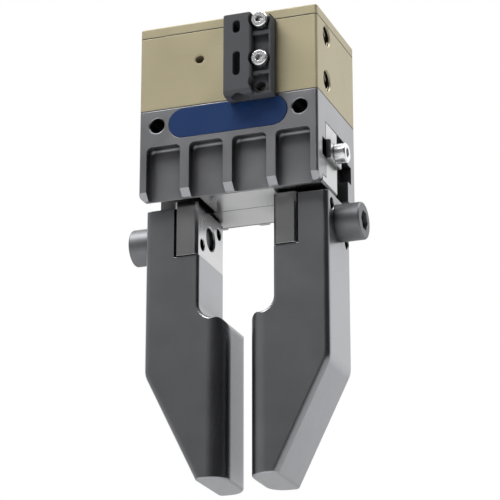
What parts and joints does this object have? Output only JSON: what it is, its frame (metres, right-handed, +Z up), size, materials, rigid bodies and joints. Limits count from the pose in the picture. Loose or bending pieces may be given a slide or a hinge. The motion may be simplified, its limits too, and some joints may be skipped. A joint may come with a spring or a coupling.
{
  "type": "pneumatic parallel gripper",
  "caption": "Pneumatic parallel gripper with a guided jaw housing, long offset gripping fingers, side air ports and a sensor bracket.",
  "frame": {"origin": "centre of the top mounting face, which bolts to the arm or machine", "axes": "+Z up and out of the mounting face, +X along the jaw travel towards the side with the air ports, -Y out of the front with the label and the sensor bracket; the fingers hang towards -Z"},
  "size_m": [0.1034, 0.0595, 0.199],
  "materials": {
    "gold_anodised": "anodised, satin",
    "grey_anodised": "hard anodised, satin",
    "rail_steel": "ground",
    "jaw_steel": "ground",
    "plate_steel": "ground",
    "finger_grey": "dark anodised, fine blasted",
    "black_oxide": "black oxide",
    "zinc_steel": "bright zinc",
    "pin_steel": "ground",
    "seal_rubber": "matte",
    "ring_plastic": "filled plastic",
    "bush_bronze": "sintered",
    "magnet": "matte",
    "piston_aluminium": "machined",
    "black_plastic": "fine texture",
    "label_blue": "printed film, plain"
  },
  "bodies": {
    "body": {"top_cover": "gold_anodised", "cover_screws": "zinc_steel", "cover_seal": "seal_rubber", "cylinder_block": "gold_anodised", "body_screws": "zinc_steel", "body_seal": "seal_rubber", "jaw_housing": "grey_anodised", "front_guide_rail": "rail_steel", "rear_guide_rail": "rail_steel", "rod_bush": "bush_bronze", "rod_seal": "seal_rubber", "sensor_bracket": "black_plastic", "bracket_screws": "zinc_steel", "name_label": "label_blue"},
    "piston_unit": {"piston": "piston_aluminium", "piston_seal": "seal_rubber", "piston_magnet": "magnet", "piston_guide_ring": "ring_plastic", "wedge_block": "jaw_steel", "piston_screw": "zinc_steel"},
    "right_jaw": {"right_base_jaw": "jaw_steel", "right_end_plate": "plate_steel", "right_plate_screw": "zinc_steel", "right_finger": "finger_grey", "right_finger_screw": "black_oxide", "right_dowel_pins": "pin_steel"},
    "left_jaw": {"left_base_jaw": "jaw_steel", "left_end_plate": "plate_steel", "left_plate_screw": "zinc_steel", "left_finger": "finger_grey", "left_finger_screw": "black_oxide", "left_dowel_pins": "pin_steel"}
  },
  "joints": [
    {"name": "right_jaw_slide", "type": "slide", "parent": "body", "child": "right_jaw", "axis": [1, 0, 0], "range_m": [0, 0.006]},
    {"name": "left_jaw_slide", "type": "slide", "parent": "body", "child": "left_jaw", "axis": [-1, 0, 0], "range_m": [0, 0.006]},
    {"name": "piston_slide", "type": "slide", "parent": "body", "child": "piston_unit", "axis": [0, 0, -1], "range_m": [0, 0.012]}
  ],
  "couplings": [
    {"joint": "left_jaw_slide", "follows": "right_jaw_slide", "ratio": 1},
    {"joint": "piston_slide", "follows": "right_jaw_slide", "ratio": 2}
  ]
}
